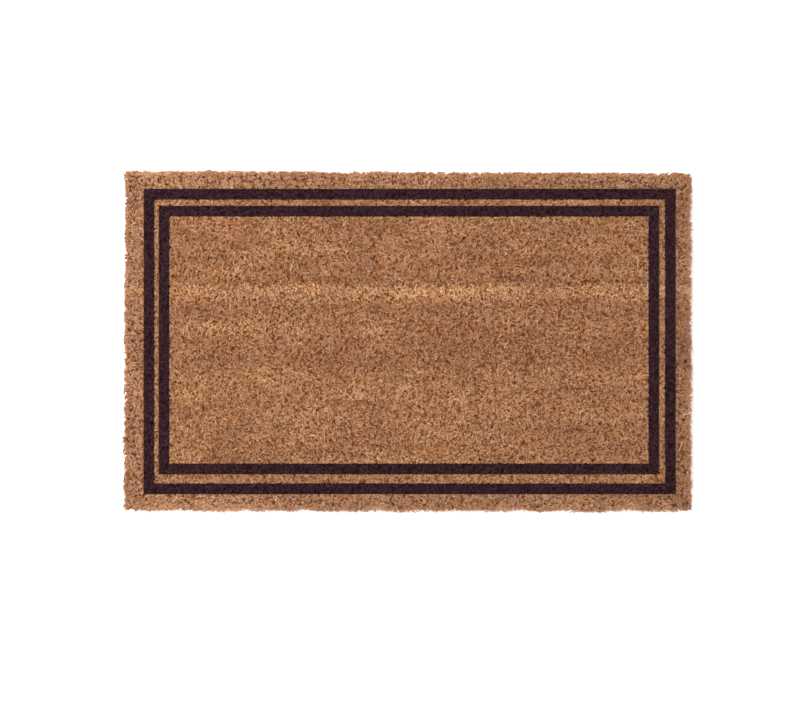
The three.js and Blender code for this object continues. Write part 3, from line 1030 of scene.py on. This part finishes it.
def weft_path():
    """The one weft goes back and forth across the warps and turns just outside the last one."""
    turn_start = -FIRST_WARP + TURN_START
    points = []
    for row in range(WEFT_PASSES):
        x = FIRST_WEFT + row * WEFT_PITCH
        heading = 1 if row % 2 == 0 else -1
        for y in np.arange(-turn_start, turn_start + 0.1, WEFT_STEP):
            press = np.cos(np.pi * (heading * y - FIRST_WARP) / WARP_PITCH + np.pi * row)
            points.append((x, heading * y, WEAVE_MIDDLE - WEFT_PRESS * press))
        if row < WEFT_PASSES - 1:
            for angle in np.linspace(0, np.pi, TURN_POINTS)[1:-1]:
                out = turn_start + TURN_DEPTH * math.sin(angle)
                across = WEFT_PITCH / 2 * (1 - math.cos(angle))
                points.append((x + across, heading * out, WEAVE_MIDDLE))
    return points


def build_weave():
    warps = []
    for index in range(WARP_COUNT):
        band = {"low": index / WARP_COUNT, "high": (index + WARP_SHARE) / WARP_COUNT}
        warps.append(rope(warp_path(index), **WARP_YARN, **band, seed=index))
    names = [f"chain_warp_{index + 1:02d}" for index in range(WARP_COUNT)]
    add_yarn("chain_warps", warps, YARN, names)
    weft = rope(weft_path(), **WEFT_YARN, seed=WEFT_SEED)
    add_yarn("weft", [weft], YARN, ["weft_yarn"])


# ---- the cord along each edge and the twine round it ----

CORD_STEP = 1.0
END_ROOM = 1.5  # what a border cord is shorter than its place, at each end
TUCK, TUCK_REACH = 2.2, 6.0  # how far its ends are drawn in under the corners, over what length
CORD_BOW, CORD_BOW_LENGTH = 0.25, 25
COIL_RADIUS, COIL_PITCH = 3.85, 19.0  # the twine's coils round the cord
COIL_POINTS = 30  # to a turn
COIL_UNEVEN = 1.2
COIL_ROOM = 1.5  # between the last coil and the cord's end
COIL_SEED = 80


def tuck(run, half):
    """How far a border cord is drawn inward at a place along it, near its ends."""
    return TUCK * np.exp(-(((half - np.abs(run)) / TUCK_REACH) ** 2))


def cord_path(middle, along, half, inward):
    """A border cord's middle line. along is 0 or 1, for the axis that it follows."""
    run = np.arange(-half, half + 0.01, CORD_STEP)
    path = np.tile([middle[0], middle[1], WEAVE_MIDDLE], (len(run), 1))
    path[:, along] += run
    path[:, 1 - along] += CORD_BOW * line_noise(run, CORD_BOW_LENGTH, seed=81)
    path[:, 1 - along] += inward * tuck(run, half)
    return path


def coil_path(middle, along, half, inward, number):
    """The lashing twine's line, in uneven coils round a border cord."""
    turns = round(2 * half / COIL_PITCH)
    angle = np.linspace(0, 2 * np.pi * turns, COIL_POINTS * turns)
    rng = np.random.default_rng(SEED + COIL_SEED + number)
    knots = np.linspace(0, angle[-1], turns)
    uneven = np.interp(angle, knots, rng.normal(0, COIL_UNEVEN, turns))
    reach = half - LASHING["radius"] - COIL_ROOM
    place = np.clip(np.linspace(-1, 1, len(angle)) * reach + uneven, -reach, reach)
    path = np.tile([middle[0], middle[1], WEAVE_MIDDLE], (len(angle), 1))
    path[:, along] += place
    path[:, 1 - along] += COIL_RADIUS * np.cos(angle) + inward * tuck(place, half)
    path[:, 2] += COIL_RADIUS * np.sin(angle)
    return path


def build_edge(side):
    low, high = box_mm(f"edge_cord_{side}")
    along = 0 if side in ("front", "back") else 1
    middle = (low + high) / 2
    half = (high[along] - low[along]) / 2 - END_ROOM
    inward = -np.sign(middle[1 - along])
    number = SIDES.index(side)
    cord = rope(cord_path(middle, along, half, inward), **CORD, seed=CORD_SEED + number)
    add_yarn(f"border_cord_{side}", [cord], YARN, [f"edge_cord_{side}"])
    coil = coil_path(middle, along, half, inward, number)
    twine = rope(coil, **LASHING, seed=LASHING_SEED + number)
    nodes = [f"lashing_twine_{side}"]
    add_yarn(f"whipping_twine_{side}", [twine], TWINE, nodes)


build_weave()
build_ground()
for edge_side in SIDES:
    build_edge(edge_side)

# ---- floor, light and camera ----

VIEW_WIDTH = 1071.6  # how much the picture's width shows at the top of the pile
VIEW_CENTRE = (-10.8, -17.7)
CAMERA_HEIGHT = 2500.0
SENSOR = 36.0
FLOOR_REACH, FLOOR_WHITE = 20.0, 0.94
SKY_STRENGTH = 1.27
LAMP_PLACE, LAMP_SIZE, LAMP_POWER = (-0.75, 0.45, 2.3), 1.6, 118  # metres and watts


def build_floor():
    mesh = bpy.data.meshes.new("floor")
    turns = ((-1, -1), (1, -1), (1, 1), (-1, 1))
    corners = [(x * FLOOR_REACH, y * FLOOR_REACH, 0) for x, y in turns]
    mesh.from_pydata(corners, [], [(0, 1, 2, 3)])
    floor = new_object("floor", mesh)
    nodes = Nodes("floor_paint", roughness=0.9, specular=0.1)
    nodes.shader.inputs["Base Color"].default_value = (*[FLOOR_WHITE] * 3, 1)
    mesh.materials.append(nodes.material)


def build_light():
    """An even white sky, and a soft lamp high over the left end of the mat."""
    world = bpy.data.worlds.new("studio")
    bpy.context.scene.world = world
    world.use_nodes = True
    sky = world.node_tree.nodes["Background"]
    sky.inputs["Color"].default_value = (1, 1, 1, 1)
    sky.inputs["Strength"].default_value = SKY_STRENGTH
    lamp = bpy.data.lights.new("soft_box", "AREA")
    lamp.shape = "SQUARE"
    lamp.size = LAMP_SIZE
    lamp.energy = LAMP_POWER
    box = new_object("soft_box", lamp)
    box.location = LAMP_PLACE
    box.constraints.new("TRACK_TO").target = new_object("soft_box_aim", None)


def build_camera():
    data = bpy.data.cameras.new("camera")
    data.sensor_width = SENSOR
    data.lens = SENSOR * CAMERA_HEIGHT / VIEW_WIDTH
    camera = new_object("camera", data)
    camera.location = np.array([*VIEW_CENTRE, CAMERA_HEIGHT + PILE_TOP]) * MM
    bpy.context.scene.camera = camera
    bpy.context.scene.view_settings.view_transform = "Standard"


build_floor()
build_light()
build_camera()
